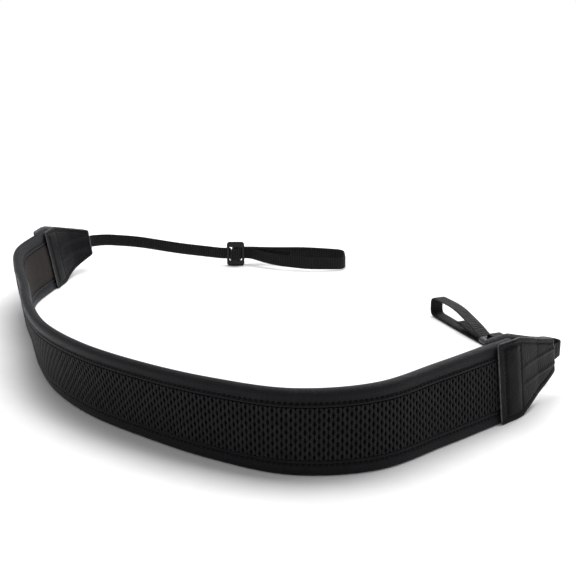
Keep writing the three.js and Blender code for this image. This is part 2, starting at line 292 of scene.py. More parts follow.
# %% A knit's bump and colour, from the UV map
def patchy_colour(tree, shader, darker, lighter, per_metre, from_uv=True):
    """Colour that drifts between two tones, with so many patches in a metre."""
    place = add_node(tree, "ShaderNodeTexCoord")
    spot = place.outputs["UV" if from_uv else "Object"]
    drift = add_node(tree, "ShaderNodeTexNoise",
                     {"Vector": spot, "Scale": per_metre, "Detail": 3})
    tone = add_node(tree, "ShaderNodeValToRGB", {"Fac": drift.outputs["Fac"]})
    tone.color_ramp.elements[0].position = 0.3
    tone.color_ramp.elements[1].position = 0.7
    tone.color_ramp.elements[0].color = linear(darker)
    tone.color_ramp.elements[1].color = linear(lighter)
    tree.links.new(tone.outputs["Color"], shader.inputs["Base Color"])
    return spot, drift.outputs["Fac"], tone.outputs["Color"]


RIBS = 2 * math.pi / 20 / MM  # a Wave Texture turns 20 radians a unit: RIBS / pitch in mm


def knit_cloth(name, darker, lighter, roughness, sheen, tint, loop):
    """Knitted cloth with loops of that size in millimetres."""
    finish, tree, shader = new_material(
        name, roughness, Specular_IOR_Level=0.15, Sheen_Weight=sheen, Sheen_Roughness=0.4,
        Sheen_Tint=linear(tint))
    spot, drift, _ = patchy_colour(tree, shader, darker, lighter, 160)
    wales = add_node(tree, "ShaderNodeTexWave", {"Vector": spot, "Scale": RIBS / loop},
                     bands_direction="Y")
    courses = add_node(tree, "ShaderNodeTexWave",
                       {"Vector": spot, "Scale": RIBS / (loop * 0.8), "Distortion": 1.5,
                        "Detail": 1}, bands_direction="X")
    loops = add_node(tree, "ShaderNodeMath",
                     {0: wales.outputs["Fac"], 1: courses.outputs["Fac"]}, operation="MULTIPLY")
    rough = add_node(tree, "ShaderNodeMapRange",
                     {0: drift, 3: roughness - 0.06, 4: roughness + 0.08})
    tree.links.new(rough.outputs[0], shader.inputs["Roughness"])
    relief = add_node(tree, "ShaderNodeBump", {"Height": loops.outputs[0], "Distance": 0.25 * MM})
    tree.links.new(relief.outputs[0], shader.inputs["Normal"])
    return finish


# Nylon knit: near black with a cool, soft highlight where it bends.
binding_cloth = knit_cloth("knitted_nylon_binding",
                           "#0b0c0e", "#131417", 0.42, 0.03, "#aab4c8", 0.9)
# Brushed knit: dull and warm, because its raised fibres scatter the light.
lining_cloth = knit_cloth("brushed_knit_lining", "#1c1918", "#262221", 0.85, 0.08, "#b8aca4", 1.1)
# The sheet under the open weave: near black, as painted shade for its slots.
slot_shade_cloth = knit_cloth("panel_backing_painted_shade", "#060606", "#0c0c0c", 0.9, 0.0, "#ffffff", 1.1)
print("three cloths")

# %% [markdown]
# ## Foam rubber
# The pad's heart is a slab of foam. Cloth closes it in all round, so a plain slab with a fine
# grain is enough, but it is a piece of its own because it gives the pad its bulk.

# %% The foam slab
# Foam rubber: dead matt, with a grain of cells about a millimetre wide.
foam_rubber, tree, shader = new_material("foam_rubber", 0.9, Specular_IOR_Level=0.15)
spot, _, _ = patchy_colour(tree, shader, "#17181a", "#222325", 300, from_uv=False)
cells = add_node(tree, "ShaderNodeTexVoronoi", {"Vector": spot, "Scale": 900})
relief = add_node(tree, "ShaderNodeBump",
                  {"Height": cells.outputs["Distance"], "Distance": 0.3 * MM})
tree.links.new(relief.outputs[0], shader.inputs["Normal"])

LOWER_BINDING, UPPER_BINDING, PAD_HEIGHT, GAP = 8.4, 9.2, 46, 0.3
INNER_LOW = LOWER_BINDING + GAP
INNER_HIGH = PAD_HEIGHT - UPPER_BINDING - GAP


def rounded_slab(low, high, near, far, radius):
    """A section [across, up] with round corners."""
    section = []
    corners = [(far, high, 0), (near, high, 90), (near, low, 180), (far, low, 270)]
    for across, up, start in corners:
        centre_across = across - radius if across == far else across + radius
        centre_up = up - radius if up == high else up + radius
        for step in range(4):
            angle = math.radians(start + 30 * step)
            section.append((centre_across + radius * math.cos(angle),
                            centre_up + radius * math.sin(angle)))
    return section


def along_pad(name, section_at, step, finish):
    runs = even_steps(-PAD_IN_TAB, PAD_LENGTH + PAD_IN_TAB, step)
    rings = [[on_pad(run, across, up) for across, up in section_at(run)] for run in runs]
    return loft_piece(name, rings, runs, finish)


foam_pad = along_pad(
    "foam_pad", lambda run: rounded_slab(INNER_LOW, INNER_HIGH, -1.9, 1.9, 0.8), 4, foam_rubber)

# %% [markdown]
# ## Bindings
# A strip of knit cloth is folded over each long edge of the pad and sewn down through all the
# layers. Above, it wraps the foam into a plump roll. The seam pulls a groove under the roll,
# and every stitch nips the cloth a little, so the groove is deeper at each stitch. Such small
# folds could be sculpted, but a rule for the section at each distance along the pad gives them
# all at once, and keeps the stitches in step with them.

# %% The two bindings
STITCH_PITCH = 2.8
UPPER_SEAM, LOWER_SEAM = 38.9, 6.1
ROLL_MIDDLE = 42.6
random.seed(11)
waves = [(random.uniform(0.02, 0.11), random.uniform(0, 6.28), random.uniform(0.02, 0.06))
         for _ in range(9)]


def unevenness(run):
    """Slow swelling and thinning, as filled cloth has. Each section takes a share of it."""
    return sum(size * math.sin(turns * run + start) for turns, start, size in waves)


def nip(run):
    """1 at the middle of each stitch and 0 between two."""
    return 0.5 + 0.5 * math.cos(2 * math.pi * run / STITCH_PITCH)


def upper_section(run):
    swell = 0.35 * unevenness(run)
    groove = 1.75 + 0.85 * (1 - nip(run))
    side = [(2.5, 36.8), (3.0, 37.0), (3.15, 37.5), (2.95, 38.1), (groove + 0.3, 38.5),
            (groove, UPPER_SEAM), (groove + 0.35, 39.3), (2.85, 40.0)]
    roll = []
    for step in range(11):
        angle = math.radians(-28 + 23.6 * step)
        radius = 3.3 + swell * math.cos(angle) * 0.5
        rise = min(3.35, 3.3 + swell * 0.2)
        roll.append((radius * math.cos(angle), ROLL_MIDDLE + rise * math.sin(angle)))
    return side + roll + [(-across, up) for across, up in reversed(side)]


def lower_section(run):
    swell = 0.3 * unevenness(run + 40)
    groove = 1.9 + 0.85 * (1 - nip(run))
    side = [(1.7, 0), (2.7, 0.35), (3.3, 1.3), (3.35 + swell, 2.8), (3.3 + swell, 4.2), (3.0, 5.2),
            (groove + 0.25, 5.7), (groove, LOWER_SEAM), (groove + 0.35, 6.5), (3.0, 7.0),
            (3.1, 7.6), (2.9, 8.2), (2.4, 8.4)]
    return side + [(-across, up) for across, up in reversed(side)]


upper_roll = along_pad("upper_binding_roll", upper_section, 0.7, binding_cloth)
lower_roll = along_pad("lower_binding_roll", lower_section, 0.7, binding_cloth)
print("bindings with a nip every", STITCH_PITCH, "mm")

# %% [markdown]
# ## Inner lining
# The side that lies on the neck is one smooth strip of brushed knit. It is a little fuller in
# its middle than at its sewn edges.


# %% The lining
def lining_section(run):
    full = 0.25 * unevenness(run + 90)
    face = [(-2.2, INNER_LOW), (-2.9, INNER_LOW + 0.4)]
    for step in range(1, 8):
        share = step / 8
        crown = math.sin(math.pi * share)
        up = INNER_LOW + (INNER_HIGH - INNER_LOW) * share
        face.append((-2.9 - crown * (0.3 + full * 0.5), up))
    face += [(-2.9, INNER_HIGH - 0.4), (-2.2, INNER_HIGH)]
    return face


brushed_lining = along_pad("brushed_lining", lining_section, 2.5, lining_cloth)

# %% [markdown]
# ## The woven panel
# The outer side is an open weave of thick polyester cords. Neighbouring cords meet and part
# by turns, so between them stand rows of small lens-shaped slots, staggered like bricks. The
# same shape repeats about 245 times, which is work for Geometry Nodes. Under the cords lies a
# sheet coloured near black as painted shade, the piece that is seen in the slots.

# %% The panel's backing sheet and its yarn
# The backing's near-black colour is painted shade for the slots between the cords.
panel_backing = along_pad(
    "panel_backing", lambda run: rounded_slab(INNER_LOW, INNER_HIGH, 2.0, 2.35, 0.15), 4,
    slot_shade_cloth)

# Polyester yarn: smooth and a little lighter than the cloth, with its twist as a grain.
panel_yarn, tree, shader = new_material(
    "polyester_panel_yarn", 0.5, Specular_IOR_Level=0.14, Sheen_Weight=0.02, Sheen_Roughness=0.5)
spot, _, _ = patchy_colour(tree, shader, "#151516", "#202021", 220, from_uv=False)
strands = add_node(tree, "ShaderNodeTexWave",
                   {"Vector": spot, "Scale": RIBS / 0.8, "Distortion": 2.0, "Detail": 1},
                   bands_direction="Z")
relief = add_node(tree, "ShaderNodeBump",
                  {"Height": strands.outputs["Fac"], "Distance": 0.15 * MM})
tree.links.new(relief.outputs[0], shader.inputs["Normal"])
print("yarn and backing")

# %% [markdown]
# ## Guides and trees
# A Geometry Nodes tree starts from some geometry. Here that is a guide: a chain of points, each
# with an attribute that says which way is out of the cloth there. Three trees grow on such
# guides or on a plain band: cords, stitches and webbing ribs. They all end alike, with
# instances made real and a material set, and the result is kept as a plain mesh.


# %% A guide, and how a tree is opened, closed and run
def guide_line(name, paths):
    """Paths of (place, facing) rows as one object of edges, with the facing as an attribute."""
    vertices, edges, facings = [], [], []
    for path in paths:
        start = len(vertices)
        vertices += [place * MM for place, _ in path]
        facings += [facing for _, facing in path]
        edges += [(start + n, start + n + 1) for n in range(len(path) - 1)]
    mesh = bpy.data.meshes.new(name)
    mesh.from_pydata(vertices, edges, [])
    attribute = mesh.attributes.new("facing", "FLOAT_VECTOR", "POINT")
    attribute.data.foreach_set("vector", [n for facing in facings for n in facing])
    guide = bpy.data.objects.new(name, mesh)
    bpy.context.collection.objects.link(guide)
    return guide


def new_tree(name, sizes):
    """A Geometry Nodes tree with a named input for each size and one for the material."""
    tree = bpy.data.node_groups.new(name, "GeometryNodeTree")
    tree.interface.new_socket("Geometry", in_out="INPUT", socket_type="NodeSocketGeometry")
    for size in sizes:
        tree.interface.new_socket(size, in_out="INPUT", socket_type="NodeSocketFloat")
    tree.interface.new_socket("Finish", in_out="INPUT", socket_type="NodeSocketMaterial")
    tree.interface.new_socket("Geometry", in_out="OUTPUT", socket_type="NodeSocketGeometry")
    return tree, add_node(tree, "NodeGroupInput").outputs


def close_tree(tree, shape, finish):
    """Instances made real, smooth faces and a material: how every tree here ends."""
    real = add_node(tree, "GeometryNodeRealizeInstances", {0: shape})
    smooth = add_node(tree, "GeometryNodeSetShadeSmooth", {"Geometry": real.outputs[0]})
    done = add_node(tree, "GeometryNodeSetMaterial",
                    {"Geometry": smooth.outputs[0], "Material": finish})
    add_node(tree, "NodeGroupOutput", {"Geometry": done.outputs[0]})


def grow(name, guide, tree, values):
    """Runs a tree on a guide and keeps the result as a plain mesh. Removes the guide."""
    modifier = guide.modifiers.new(name, "NODES")
    modifier.node_group = tree
    for socket in tree.interface.items_tree:
        if socket.in_out == "INPUT" and socket.name in values:
            modifier[socket.identifier] = values[socket.name]
    evaluated = guide.evaluated_get(bpy.context.evaluated_depsgraph_get())
    mesh = bpy.data.meshes.new_from_object(evaluated)
    mesh.name = name
    bpy.data.objects.remove(guide)
    piece = bpy.data.objects.new(name, mesh)
    bpy.context.collection.objects.link(piece)
    print(name, len(mesh.polygons), "faces")
    return piece


# %% [markdown]
# ## The tree for upright cords
# One rod is bent into a wave by moving its points sideways by a sine of their height, and
# flattened to the cord's section. The guide is cut into even steps, one rod stands at each,
# and every second one is turned round, so that its wave is the neighbour's mirror image.


# %% The cords' tree
CORD_SIDES, CORD_STEPS = 6, 52  # no more, because the rod repeats so often
cords, given = new_tree("wavy_cords", ["Pitch", "Width", "Thickness", "Height", "Wave", "Period"])
rod = add_node(cords, "GeometryNodeMeshCylinder",
               {"Vertices": CORD_SIDES, "Side Segments": CORD_STEPS, "Radius": 0.5,
                "Depth": given["Height"]})
position = add_node(cords, "GeometryNodeInputPosition").outputs[0]
at = add_node(cords, "ShaderNodeSeparateXYZ", {0: position}).outputs
sway, wide = at[2], at[0]
for operation, value in (("MULTIPLY", 2 * math.pi), ("DIVIDE", given["Period"]), ("SINE", 0.0),
                         ("MULTIPLY", given["Wave"])):
    sway = add_node(cords, "ShaderNodeMath", {0: sway, 1: value}, operation=operation).outputs[0]
for operation, value in (("MULTIPLY", given["Width"]), ("ADD", sway)):
    wide = add_node(cords, "ShaderNodeMath", {0: wide, 1: value}, operation=operation).outputs[0]
thick = add_node(cords, "ShaderNodeMath", {0: at[1], 1: given["Thickness"]},
                 operation="MULTIPLY").outputs[0]
swayed = add_node(cords, "ShaderNodeCombineXYZ", {0: wide, 1: thick, 2: at[2]}).outputs[0]
cord = add_node(cords, "GeometryNodeSetPosition",
                {"Geometry": rod.outputs["Mesh"], "Position": swayed})

line = add_node(cords, "GeometryNodeMeshToCurve", {0: given["Geometry"]})
places = add_node(cords, "GeometryNodeResampleCurve",
                  {"Curve": line.outputs[0], "Length": given["Pitch"]}, mode="LENGTH")
sign = add_node(cords, "GeometryNodeInputIndex").outputs[0]
for operation, value in (("MODULO", 2.0), ("MULTIPLY", -2.0), ("ADD", 1.0)):
    sign = add_node(cords, "ShaderNodeMath", {0: sign, 1: value}, operation=operation).outputs[0]
along = add_node(cords, "GeometryNodeInputTangent").outputs[0]
facing = add_node(cords, "GeometryNodeInputNamedAttribute", {"Name": "facing"},
                  data_type="FLOAT_VECTOR").outputs["Attribute"]
rise = add_node(cords, "ShaderNodeVectorMath", {0: facing, 1: along},
                operation="CROSS_PRODUCT").outputs[0]
turned = add_node(cords, "ShaderNodeVectorMath", {0: along, "Scale": sign}, operation="SCALE")
facing_way = add_node(cords, "FunctionNodeAxesToRotation",
                      {"Primary Axis": rise, "Secondary Axis": turned.outputs[0]},
                      primary_axis="Z", secondary_axis="X")
stretch = add_node(cords, "ShaderNodeVectorMath", {0: rise}, operation="LENGTH").outputs["Value"]
stretched = add_node(cords, "ShaderNodeCombineXYZ", {0: 1.0, 1: 1.0, 2: stretch}).outputs[0]
row = add_node(cords, "GeometryNodeInstanceOnPoints",
               {"Points": places.outputs[0], "Instance": cord.outputs[0],
                "Rotation": facing_way.outputs[0], "Scale": stretched})
close_tree(cords, row.outputs[0], given["Finish"])
print("the cords' tree has", len(cords.nodes), "nodes")


# %% [markdown]
# ## The panel's cords
# The guide runs at half the panel's height. Where the pad leans, its face is taller than its
# upright height: the facing attribute is as long as that stretch, and the tree stretches each
# cord by it.


# %% Grow the woven panel
CORD_LINE = 2.87  # how far the cords' middle stands out from the pad's


def face_of_pad(run, across, up, side=1):
    """A place on the pad and the way its face looks there, as long as the lean stretches it."""
    _, _, out, slope = pad_station(run)
    return on_pad(run, across * side, up), (out - UP * slope) * side


middle_up = (INNER_LOW + INNER_HIGH) / 2
panel_line = [face_of_pad(run, CORD_LINE, middle_up)
              for run in even_steps(-PAD_IN_TAB + 1, PAD_LENGTH + PAD_IN_TAB - 1, 2)]
cord_sizes = {"Pitch": 2.3, "Width": 1.85, "Thickness": 1.0, "Height": INNER_HIGH - INNER_LOW,
              "Wave": 0.37, "Period": 4.5}
woven_panel = grow(
    "woven_panel", guide_line("panel_guide", [panel_line]), cords,
    {**{size: value * MM for size, value in cord_sizes.items()}, "Finish": panel_yarn})

# %% [markdown]
# ## Tabs
# Each end of the pad is held between two layers of coated leather. They are raised over the
# pad's end, drawn in by a row of stitches on both sides of it, and pressed down on the webbing
# so that its two edges stand out as ridges. One rule gives the height of the face at any place
# of the tab; the same rule, called again, puts the stitches exactly in their grooves.

# %% The tab's frame and its faces
TAB_HEIGHT, TAB_SLANT, LEATHER, TAB_LENGTH = 46.6, 0.04, 1.2, 63
TAB_ROWS = [(0, 22, 4), (1.3, 23.3, 4), (15, 23.3, 4), (20, 23, 3.4), (40, 17, 1),
            (61.5, 10.8, 1), (63, 9.6, 1)]  # distance, half height, half the space inside
EDGE_SEAM, BAR_SEAMS = 3.4, (5.5, 19.5)  # in from the outline, and along the tab
TAB_STEPS = 200


def tab_frame(run, direction, tip):
    point, along, out, slope = pad_station(run)
    along = along * direction
    end = Vector((*tip, 0)) - out * (slope * TAB_HEIGHT / 2)
    knots = [point, point + along * TAB_LENGTH * 0.25, point + along * TAB_LENGTH * 0.5, end]
    line = []
    for step in range(TAB_STEPS + 1):
        t = step / TAB_STEPS
        weights = [(1 - t) ** 3, 3 * t * (1 - t) ** 2, 3 * t * t * (1 - t), t ** 3]
        line.append(sum((w * k for w, k in zip(weights, knots)), Vector((0, 0, 0))))
    distances = [0.0]
    for a, b in zip(line, line[1:]):
        distances.append(distances[-1] + (b - a).length)
    return {"line": line, "distances": distances, "facing": direction, "slope": slope}


def on_tab(tab, s, across, up):
    line, distances = tab["line"], tab["distances"]
    along = s - up * TAB_SLANT
    inside = min(max(along, 0.0), distances[-1])
    index = next(i for i, d in enumerate(distances[1:]) if d >= inside - 1e-9)
    share = (inside - distances[index]) / (distances[index + 1] - distances[index])
    low, high = max(index - 2, 0), min(index + 3, TAB_STEPS)
    direction = (line[high] - line[low]).normalized()
    out = direction.cross(UP) * tab["facing"]
    return (line[index].lerp(line[index + 1], share) + direction * (along - inside)
            + out * (across + up * tab["slope"]) + UP * up)


def tab_size(s):
    for (s0, half0, inside0), (s1, half1, inside1) in zip(TAB_ROWS, TAB_ROWS[1:]):
        if s <= s1:
            share = (s - s0) / (s1 - s0)
            return half0 + (half1 - half0) * share, inside0 + (inside1 - inside0) * share
    return TAB_ROWS[-1][1:]


def hump(distance, width):
    return math.exp(-(distance / width) ** 2)


def tab_relief(s, v, half):
    """Height of the face over the flat layer, in millimetres."""
    from_edge = half - abs(v)
    inner = min(max((from_edge - EDGE_SEAM) / 1.5, 0), 1)
    height = -0.55 * hump(from_edge - EDGE_SEAM, 0.55) * min(max((s - 2) / 2, 0), 1)
    height -= 0.45 * inner * sum(hump(s - seam, 0.65) for seam in BAR_SEAMS)
    if BAR_SEAMS[0] < s < BAR_SEAMS[1]:
        share = (s - BAR_SEAMS[0]) / (BAR_SEAMS[1] - BAR_SEAMS[0])
        height += 0.6 * inner * math.sin(math.pi * share) ** 0.6
    ridge = 5.4 - 0.9 * s / TAB_LENGTH
    fade = min(max((s - 21) / 5, 0), 1)
    height += fade * (0.5 * hump(abs(v) - ridge, 1.0) - 0.15 * hump(v, 3.0))
    return height + 0.08 * math.sin(0.31 * s + 0.9) * math.sin(0.23 * v + 0.4)


def tab_face(tab, side, s, v):
    half, inside = tab_size(s)
    across = inside + LEATHER - 0.1 + tab_relief(s, v, half)
    return on_tab(tab, s, side * across, TAB_HEIGHT / 2 + v)


tabs = {"left": tab_frame(0, -1, (-152, 170)), "right": tab_frame(PAD_LENGTH, 1, (176, -91))}
print("two tabs,", TAB_LENGTH, "mm long and", TAB_HEIGHT, "mm high")

# %% [markdown]
# ## Coated leather
# The leather is split hide with a black polyurethane skin: satin, with a fine pebble grain.
# Along a cut edge the skin is thin and worn to grey. The wear could be painted by hand. Here
# the edge's place is stored as an attribute, and the material fades to grey along it.

# %% The leather
# Coated split leather: satin black with a fine pebble, grey where a cut edge is rubbed.
PEBBLE = 1.1
leather_finish, tree, shader = new_material("coated_split_leather", 0.5, Specular_IOR_Level=0.07)
spot, _, tone = patchy_colour(tree, shader, "#0d0e10", "#131416", 140, from_uv=False)
worn = add_node(tree, "ShaderNodeAttribute", attribute_name="cut_edge")
rubbed = add_node(tree, "ShaderNodeTexNoise", {"Vector": spot, "Scale": 700})
wear = add_node(tree, "ShaderNodeMath", {0: worn.outputs["Fac"], 1: rubbed.outputs["Fac"]},
                operation="MULTIPLY")
edged = add_node(tree, "ShaderNodeMix", {0: wear.outputs[0], 6: tone, 7: linear("#7a7a7c")},
                 data_type="RGBA")
tree.links.new(edged.outputs[2], shader.inputs["Base Color"])
pebbles = add_node(tree, "ShaderNodeTexVoronoi", {"Vector": spot, "Scale": 1 / (PEBBLE * MM)},
                   feature="SMOOTH_F1")
creases = add_node(tree, "ShaderNodeTexNoise", {"Vector": spot, "Scale": 90, "Detail": 4})
creased = add_node(tree, "ShaderNodeBump",
                   {"Height": creases.outputs["Fac"], "Distance": 0.6 * MM})
relief = add_node(tree, "ShaderNodeBump", {"Height": pebbles.outputs["Distance"],
                                           "Distance": 0.22 * MM, "Normal": creased.outputs[0]})
tree.links.new(relief.outputs[0], shader.inputs["Normal"])
print("leather with a pebble of", PEBBLE, "mm")

# %% [markdown]
# ## Four leather layers
# Each layer is lofted from the pad to the tip. The tab's rule lifts and presses the many points
# of its outer face, and its inner face is plain. Near the outline and at both ends
# the layer thins, as pared leather does, so that its edges are round and not sharp.


# %% The layers
FACE_STEPS, BACK_STEPS = 70, 12
PARED_END, PARED_EDGE = 0.7, 0.5  # how far in from an end and from the outline it thins


def leather_layer(name, tab, side):
    rings, runs, edges = [], [], []
    for s in [0, 0.25] + even_steps(0.7, 62.4, 0.6) + [62.8, 63]:
        half, inside = tab_size(s)
        end = min(1, 0.55 + min(s, TAB_LENGTH - s) / PARED_END * 0.45)
        middle = inside + LEATHER / 2
        ring, marks = [], []
        for step in range(FACE_STEPS + 1):
            v = half * (2 * step / FACE_STEPS - 1)
            relief = tab_relief(s, v, half) * (1 if end == 1 else 0.6)
            lift = (LEATHER / 2 - 0.1) * end + relief
            from_edge = half - abs(v)
            across = middle + lift * (0.35 + 0.65 * min(1.0, from_edge / PARED_EDGE) ** 0.5)
            ring.append(on_tab(tab, s, side * across, TAB_HEIGHT / 2 + v))
            marks.append(1.0 if from_edge < PARED_EDGE or end < 1 else 0.0)
        for step in range(BACK_STEPS + 1):
            v = half * (1 - 2 * step / BACK_STEPS)
            at_edge = step in (0, BACK_STEPS)
            across = middle - LEATHER / 2 * end * (0.5 if at_edge else 1)
            ring.append(on_tab(tab, s, side * across, TAB_HEIGHT / 2 + v))
            marks.append(1.0 if at_edge or end < 1 else 0.0)
        rings.append(ring)
        runs.append(s)
        edges += marks
    piece = loft_piece(name, rings, runs, leather_finish)
    attribute = piece.data.attributes.new("cut_edge", "FLOAT", "POINT")
    attribute.data.foreach_set("value", edges)
    return piece


leather_layers = {}
for place_name, tab in tabs.items():
    for side_name, side in (("outer", 1), ("inner", -1)):
        leather_layers[f"tab_{place_name}_{side_name}"] = leather_layer(
            f"leather_{place_name}_{side_name}", tab, side)

# %% [markdown]
# ## Stitches
# The seams are sewn with a bonded polyester thread. One stitch is a short bead that dives into
# the cloth at both ends. A Geometry Nodes tree puts one at each place of a guide line, turned
# along the seam and facing out of the cloth.

# %% The stitch tree
# Bonded polyester thread: blacker than the cloth, with the fine slant of its twist.
thread, tree, shader = new_material("bonded_polyester_thread", 0.42, Specular_IOR_Level=0.12)
spot, _, _ = patchy_colour(tree, shader, "#070708", "#0d0d0f", 500, from_uv=False)
twist = add_node(tree, "ShaderNodeTexWave", {"Vector": spot, "Scale": RIBS / 0.4},
                 bands_direction="DIAGONAL")
relief = add_node(tree, "ShaderNodeBump", {"Height": twist.outputs["Fac"], "Distance": 0.08 * MM})
tree.links.new(relief.outputs[0], shader.inputs["Normal"])

sewing, given = new_tree("stitches", ["Length", "Thickness"])
start, end, dive, radius = [
    add_node(sewing, "ShaderNodeMath", {0: given[size], 1: share}, operation="MULTIPLY").outputs[0]
    for size, share in (("Length", -0.5), ("Length", 0.5), ("Thickness", -0.6),
                        ("Thickness", 0.5))]
ends = [add_node(sewing, "ShaderNodeCombineXYZ", {0: reach, 2: dive}).outputs[0]
        for reach in (start, end)]
crest = add_node(sewing, "ShaderNodeCombineXYZ", {2: given["Thickness"]}).outputs[0]
arc = add_node(sewing, "GeometryNodeCurveQuadraticBezier",
               {"Resolution": 5, "Start": ends[0], "Middle": crest, "End": ends[1]})
ring = add_node(sewing, "GeometryNodeCurvePrimitiveCircle", {"Resolution": 6, "Radius": radius})
bead = add_node(sewing, "GeometryNodeCurveToMesh",
                {"Curve": arc.outputs[0], "Profile Curve": ring.outputs[0], "Fill Caps": True})
line = add_node(sewing, "GeometryNodeMeshToCurve", {0: given["Geometry"]})
along = add_node(sewing, "GeometryNodeInputTangent").outputs[0]
facing = add_node(sewing, "GeometryNodeInputNamedAttribute", {"Name": "facing"},
                  data_type="FLOAT_VECTOR").outputs["Attribute"]
seam_way = add_node(sewing, "FunctionNodeAxesToRotation",
                    {"Primary Axis": along, "Secondary Axis": facing},
                    primary_axis="X", secondary_axis="Z")
sewn = add_node(sewing, "GeometryNodeInstanceOnPoints",
                {"Points": line.outputs[0], "Instance": bead.outputs[0],
                 "Rotation": seam_way.outputs[0]})
close_tree(sewing, sewn.outputs[0], given["Finish"])
print("the stitches' tree has", len(sewing.nodes), "nodes")


def sew(name, paths, length, thickness):
    return grow(name, guide_line(name + "_guide", paths), sewing,
                {"Length": length * MM, "Thickness": thickness * MM, "Finish": thread})


# %% [markdown]
# ## Where the seams run
# On the pad, between the tabs, a stitch lies in the middle of each nip of the grooves. On the
# tabs the rows follow the outline and cross the tab on both sides of the raised bar, and each
# stitch takes its height and its way out from the same rule that pressed the groove.

# %% Seams of the pad and of the tabs
stitch_runs = [n * STITCH_PITCH for n in range(2, int(PAD_LENGTH / STITCH_PITCH) - 1)]
IN_UPPER_GROOVE, IN_LOWER_GROOVE = 2.25, 2.4  # out from the pad's middle
seams = [[face_of_pad(run, across, up, side) for run in stitch_runs]
         for across, up in ((IN_UPPER_GROOVE, UPPER_SEAM), (IN_LOWER_GROOVE, LOWER_SEAM))
         for side in (1, -1)]
pad_seams = sew("pad_seams", seams, 2.0, 0.6)


TAB_STITCH = 2.7


def seam_on_tab(tab, side, places):
    """Places [s, v] of a row as points just over the leather, with the way out of it."""
    path = []
    for s, v in places:
        here = tab_face(tab, side, s, v)
        ahead = tab_face(tab, side, s + 0.4, v) - here
        above = tab_face(tab, side, s, v + 0.4) - here
        normal = (ahead.cross(above) * side * tab["facing"]).normalized()
        path.append((here + normal * 0.12, normal))
    return path


tab_seams = {}
for place_name, tab in tabs.items():
    paths = []
    for side in (1, -1):
        for way in (1, -1):
            rows = [(s, way * (tab_size(s)[0] - EDGE_SEAM))
                    for s in even_steps(3.5, 61, TAB_STITCH)]
            paths.append(seam_on_tab(tab, side, rows))
        for seam in BAR_SEAMS:
            reach = tab_size(seam)[0] - EDGE_SEAM - 2
            rows = [(seam, v) for v in even_steps(-reach, reach, TAB_STITCH)]
            paths.append(seam_on_tab(tab, side, rows))
    tab_seams[place_name] = sew(f"tab_seams_{place_name}", paths, 2.0, 0.7)

# %% [markdown]
# ## Webbing
# The webbing is a flat nylon band, 10 mm wide. Its weft shows as ribs right across it, about
# 2 mm apart, between two firm woven edges. The band is lofted along its route, and the ribs
# are raised by Geometry Nodes, which reads how far along and how far across each point lies.

# %% The webbings' routes
SLIDER_THICKNESS, BAND_THICKNESS = 2.6, 1.2
LAYER = BAND_THICKNESS + GAP
ON_BAR = SLIDER_THICKNESS / 2 + GAP + BAND_THICKNESS / 2
slider_frames = {  # centre, way along the webbing, way across it
    "left": (Vector((-26, 183, 10.5)), Vector((1, 0.02, 0)).normalized(), Vector((0, 0, 1))),
    "right": (Vector((158, -22, 6.2)), Vector((-0.38, 0.925, 0)).normalized(),
              Vector((-0.925, -0.38, 0)).normalized())}


def at_slider(side, rows):
    centre, along, wide = slider_frames[side]
    return [(centre + along * l + along.cross(wide) * n, bend, wide) for l, n, bend in rows]


# Out from the tab and back from the lug, over the middle bar: along, towards the face, bend.
THREAD_OUT = [(-12, -ON_BAR, 3), (-4.3, -ON_BAR, 1.4), (-4.3, ON_BAR + LAYER, 1.4),
              (4.3, ON_BAR + LAYER, 1.4), (4.3, -ON_BAR, 1.4), (12, -ON_BAR, 3)]
THREAD_BACK = [(12, -ON_BAR - 2 * LAYER, 3), (-2.6, -ON_BAR - 2 * LAYER, 1.4),
               (-2.6, ON_BAR, 1.4), (2.6, ON_BAR, 1.4), (2.6, -ON_BAR - LAYER, 1.4),
               (12, -ON_BAR - LAYER, 3)]


def free_rows(side, rows):
    """Rows of x, y, z, bend and lie: 0 where the band stands on its edge, 1 where it is flat."""
    flat = slider_frames[side][2]
    turned = []
    for x, y, z, bend, lie in rows:
        angle = lie * math.pi / 2
        turned.append((Vector((x, y, z)), bend, UP * math.cos(angle) + flat * math.sin(angle)))
    return turned


def rows_in_tab(tab):
    rows = []
    for back in (30, 20, 10, 0, -4):
        s = TAB_LENGTH - back
        low, middle, high = [on_tab(tab, s, 0, TAB_HEIGHT * n / 2) for n in range(3)]
        rows.append((middle, 3, (high - low).normalized()))
    return rows


routes = {
    "left": rows_in_tab(tabs["left"])
    + free_rows("left", [(-137, 185, 22.5, 9, 0), (-111, 190, 19.5, 12, 0), (-75, 188, 14, 12, 0)])
    + at_slider("left", THREAD_OUT)
    + free_rows("left", [(7, 172, 8, 10, 0), (35, 166, 6.2, 10, 0), (67.5, 168, 5.6, 8, 0),
                         (67.5, 197, 5.6, 8, 0), (35, 203, 6.2, 10, 0), (3, 196, 8, 10, 0)])
    + at_slider("left", THREAD_BACK)
    + free_rows("left", [(7, 185.6, 8.4, 6, 0), (21, 184, 7.6, 6, 0)]),
    "right": rows_in_tab(tabs["right"])
    + free_rows("right", [(184.5, -80, 23, 6, 0), (173, -69.5, 22, 6, 0), (158, -85, 19, 6, 0),
                          (158, -64, 13.5, 9, 0.3), (161, -45, 7.5, 9, 0.85)])
    + at_slider("right", THREAD_OUT)
    + free_rows("right", [(148, 1, 9, 8, 1), (139, 24, 14.5, 10, 1), (128, 50, 14, 4.5, 1),
                          (128, 50, 1.2, 4.5, 1), (141, 18, 0.9, 10, 1)])
    + at_slider("right", THREAD_BACK)
    + free_rows("right", [(151, -4, 2.8, 6, 1), (141.5, 19, 5.5, 6, 1)])}


BAND_STEP, BEND_STEPS = 0.4, 12
SELVEDGE = 4.3  # where the ribs end, out from the band's middle


